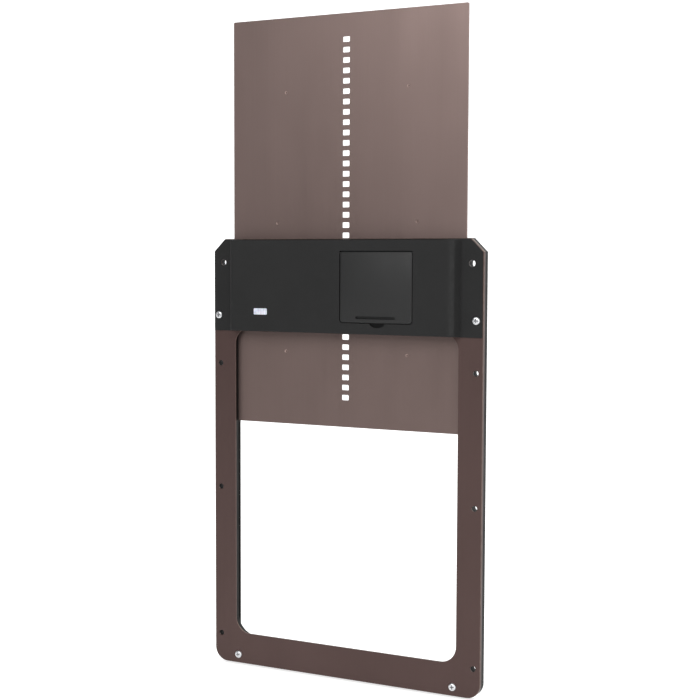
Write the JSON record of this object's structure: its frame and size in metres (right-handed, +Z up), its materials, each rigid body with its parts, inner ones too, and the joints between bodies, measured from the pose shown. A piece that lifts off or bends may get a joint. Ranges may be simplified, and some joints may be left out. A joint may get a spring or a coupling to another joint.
{
  "type": "automatic coop door",
  "caption": "Wall-mounted automatic coop door: a framed doorway with a lifting panel driven by a small gearmotor in a battery-powered header.",
  "frame": {"origin": "centre of the four mounting holes around the doorway, on the rear plane that lies on the coop wall", "axes": "+X to the right seen from outside the coop, +Y into the wall, +Z up"},
  "size_m": [0.262, 0.0222, 0.5843],
  "materials": {
    "frame_sheet": "brown anodised and lacquered sheet, fine satin grain",
    "panel_sheet": "brown anodised sheet, satin",
    "rail_plastic": "black moulded plastic, satin",
    "header_plastic": "black moulded plastic, fine spark texture",
    "cover_plastic": "black moulded plastic, satin",
    "lens": "clouded white plastic",
    "zinc": "zinc-plated steel",
    "steel": "ground steel",
    "brass": "turned brass",
    "gear_nylon": "natural nylon",
    "tray_plastic": "black moulded plastic",
    "cell_jacket": "printed film jacket, plain green with a grey band",
    "board": "green solder mask",
    "chip": "black epoxy",
    "socket_plastic": "white nylon",
    "clear_lamp": "clear epoxy",
    "red_lamp": "red tinted epoxy",
    "gasket": "soft black rubber",
    "button_red": "red plastic",
    "lead_red": "PVC insulation",
    "lead_black": "PVC insulation"
  },
  "bodies": {
    "frame": {"front_frame": "frame_sheet", "left_guide_rail": "rail_plastic", "right_guide_rail": "rail_plastic", "bottom_sill": "rail_plastic", "rear_bridge": "zinc", "bridge_screws": "zinc", "header_housing": "header_plastic", "sensor_window": "lens", "housing_back_cover": "tray_plastic", "battery_tray": "tray_plastic", "cover_gasket": "gasket", "battery_cell_1": "cell_jacket", "battery_cell_2": "cell_jacket", "battery_cell_3": "cell_jacket", "battery_cell_4": "cell_jacket", "contact_springs": "steel", "contact_plates": "zinc", "mode_switch": "chip", "circuit_board": "board", "control_chip": "chip", "motor_driver_chip": "chip", "motor_socket": "socket_plastic", "battery_socket": "socket_plastic", "capacitor": "chip", "light_sensor": "clear_lamp", "status_led": "red_lamp", "gear_pin": "steel", "gear_plate_left": "brass", "gear_plate_right": "brass", "gear_posts": "brass", "output_bush": "brass", "motor_can": "steel", "motor_end_cap": "tray_plastic", "motor_terminals": "brass", "motor_bracket": "zinc", "back_cover_screws": "zinc", "tray_screws": "zinc", "board_screws": "zinc", "bracket_screws": "zinc", "frame_screws": "zinc", "motor_leads": "lead_black", "battery_leads": "lead_red"},
    "panel": {"door_panel": "panel_sheet"},
    "drive_axle": {"output_shaft": "steel", "output_gear": "brass", "sprocket": "gear_nylon"},
    "second_gear_set": {"second_gear": "brass"},
    "first_gear_set": {"first_gear": "brass"},
    "motor_rotor": {"motor_shaft": "steel", "motor_pinion": "brass"},
    "battery_lid": {"battery_cover": "cover_plastic"},
    "button": {"mode_button": "button_red"}
  },
  "joints": [
    {"name": "panel_slide", "type": "slide", "parent": "frame", "child": "panel", "axis": [0, 0, 1], "range_m": [-0.204, 0.0847]},
    {"name": "sprocket_spin", "type": "hinge", "parent": "frame", "child": "drive_axle", "pos_m": [0, -0.00983, 0.1968], "axis": [1, 0, 0], "range_deg": [-1652, 687]},
    {"name": "second_gear_spin", "type": "hinge", "parent": "frame", "child": "second_gear_set", "pos_m": [0, -0.0123, 0.19004], "axis": [1, 0, 0], "range_deg": [-2057, 4953]},
    {"name": "first_gear_spin", "type": "hinge", "parent": "frame", "child": "first_gear_set", "pos_m": [0, -0.00983, 0.1968], "axis": [1, 0, 0], "range_deg": [-14855, 6168]},
    {"name": "motor_spin", "type": "hinge", "parent": "frame", "child": "motor_rotor", "pos_m": [0, -0.0123, 0.19004], "axis": [1, 0, 0], "range_deg": [-18502, 44561]},
    {"name": "battery_cover_hinge", "type": "hinge", "parent": "frame", "child": "battery_lid", "pos_m": [0.0377, -0.0211, 0.226], "axis": [-1, 0, 0], "range_deg": [0, 75]},
    {"name": "mode_button_press", "type": "slide", "parent": "frame", "child": "button", "axis": [0, 1, 0], "range_m": [0, 0.0004], "stiffness_N_per_m": 1500, "springref_m": -0.0004}
  ],
  "couplings": [
    {"joint": "sprocket_spin", "follows": "panel_slide", "rad_per_m": 141.2},
    {"joint": "second_gear_spin", "follows": "panel_slide", "rad_per_m": -423.59},
    {"joint": "first_gear_spin", "follows": "panel_slide", "rad_per_m": 1270.8},
    {"joint": "motor_spin", "follows": "panel_slide", "rad_per_m": -3812.3}
  ]
}
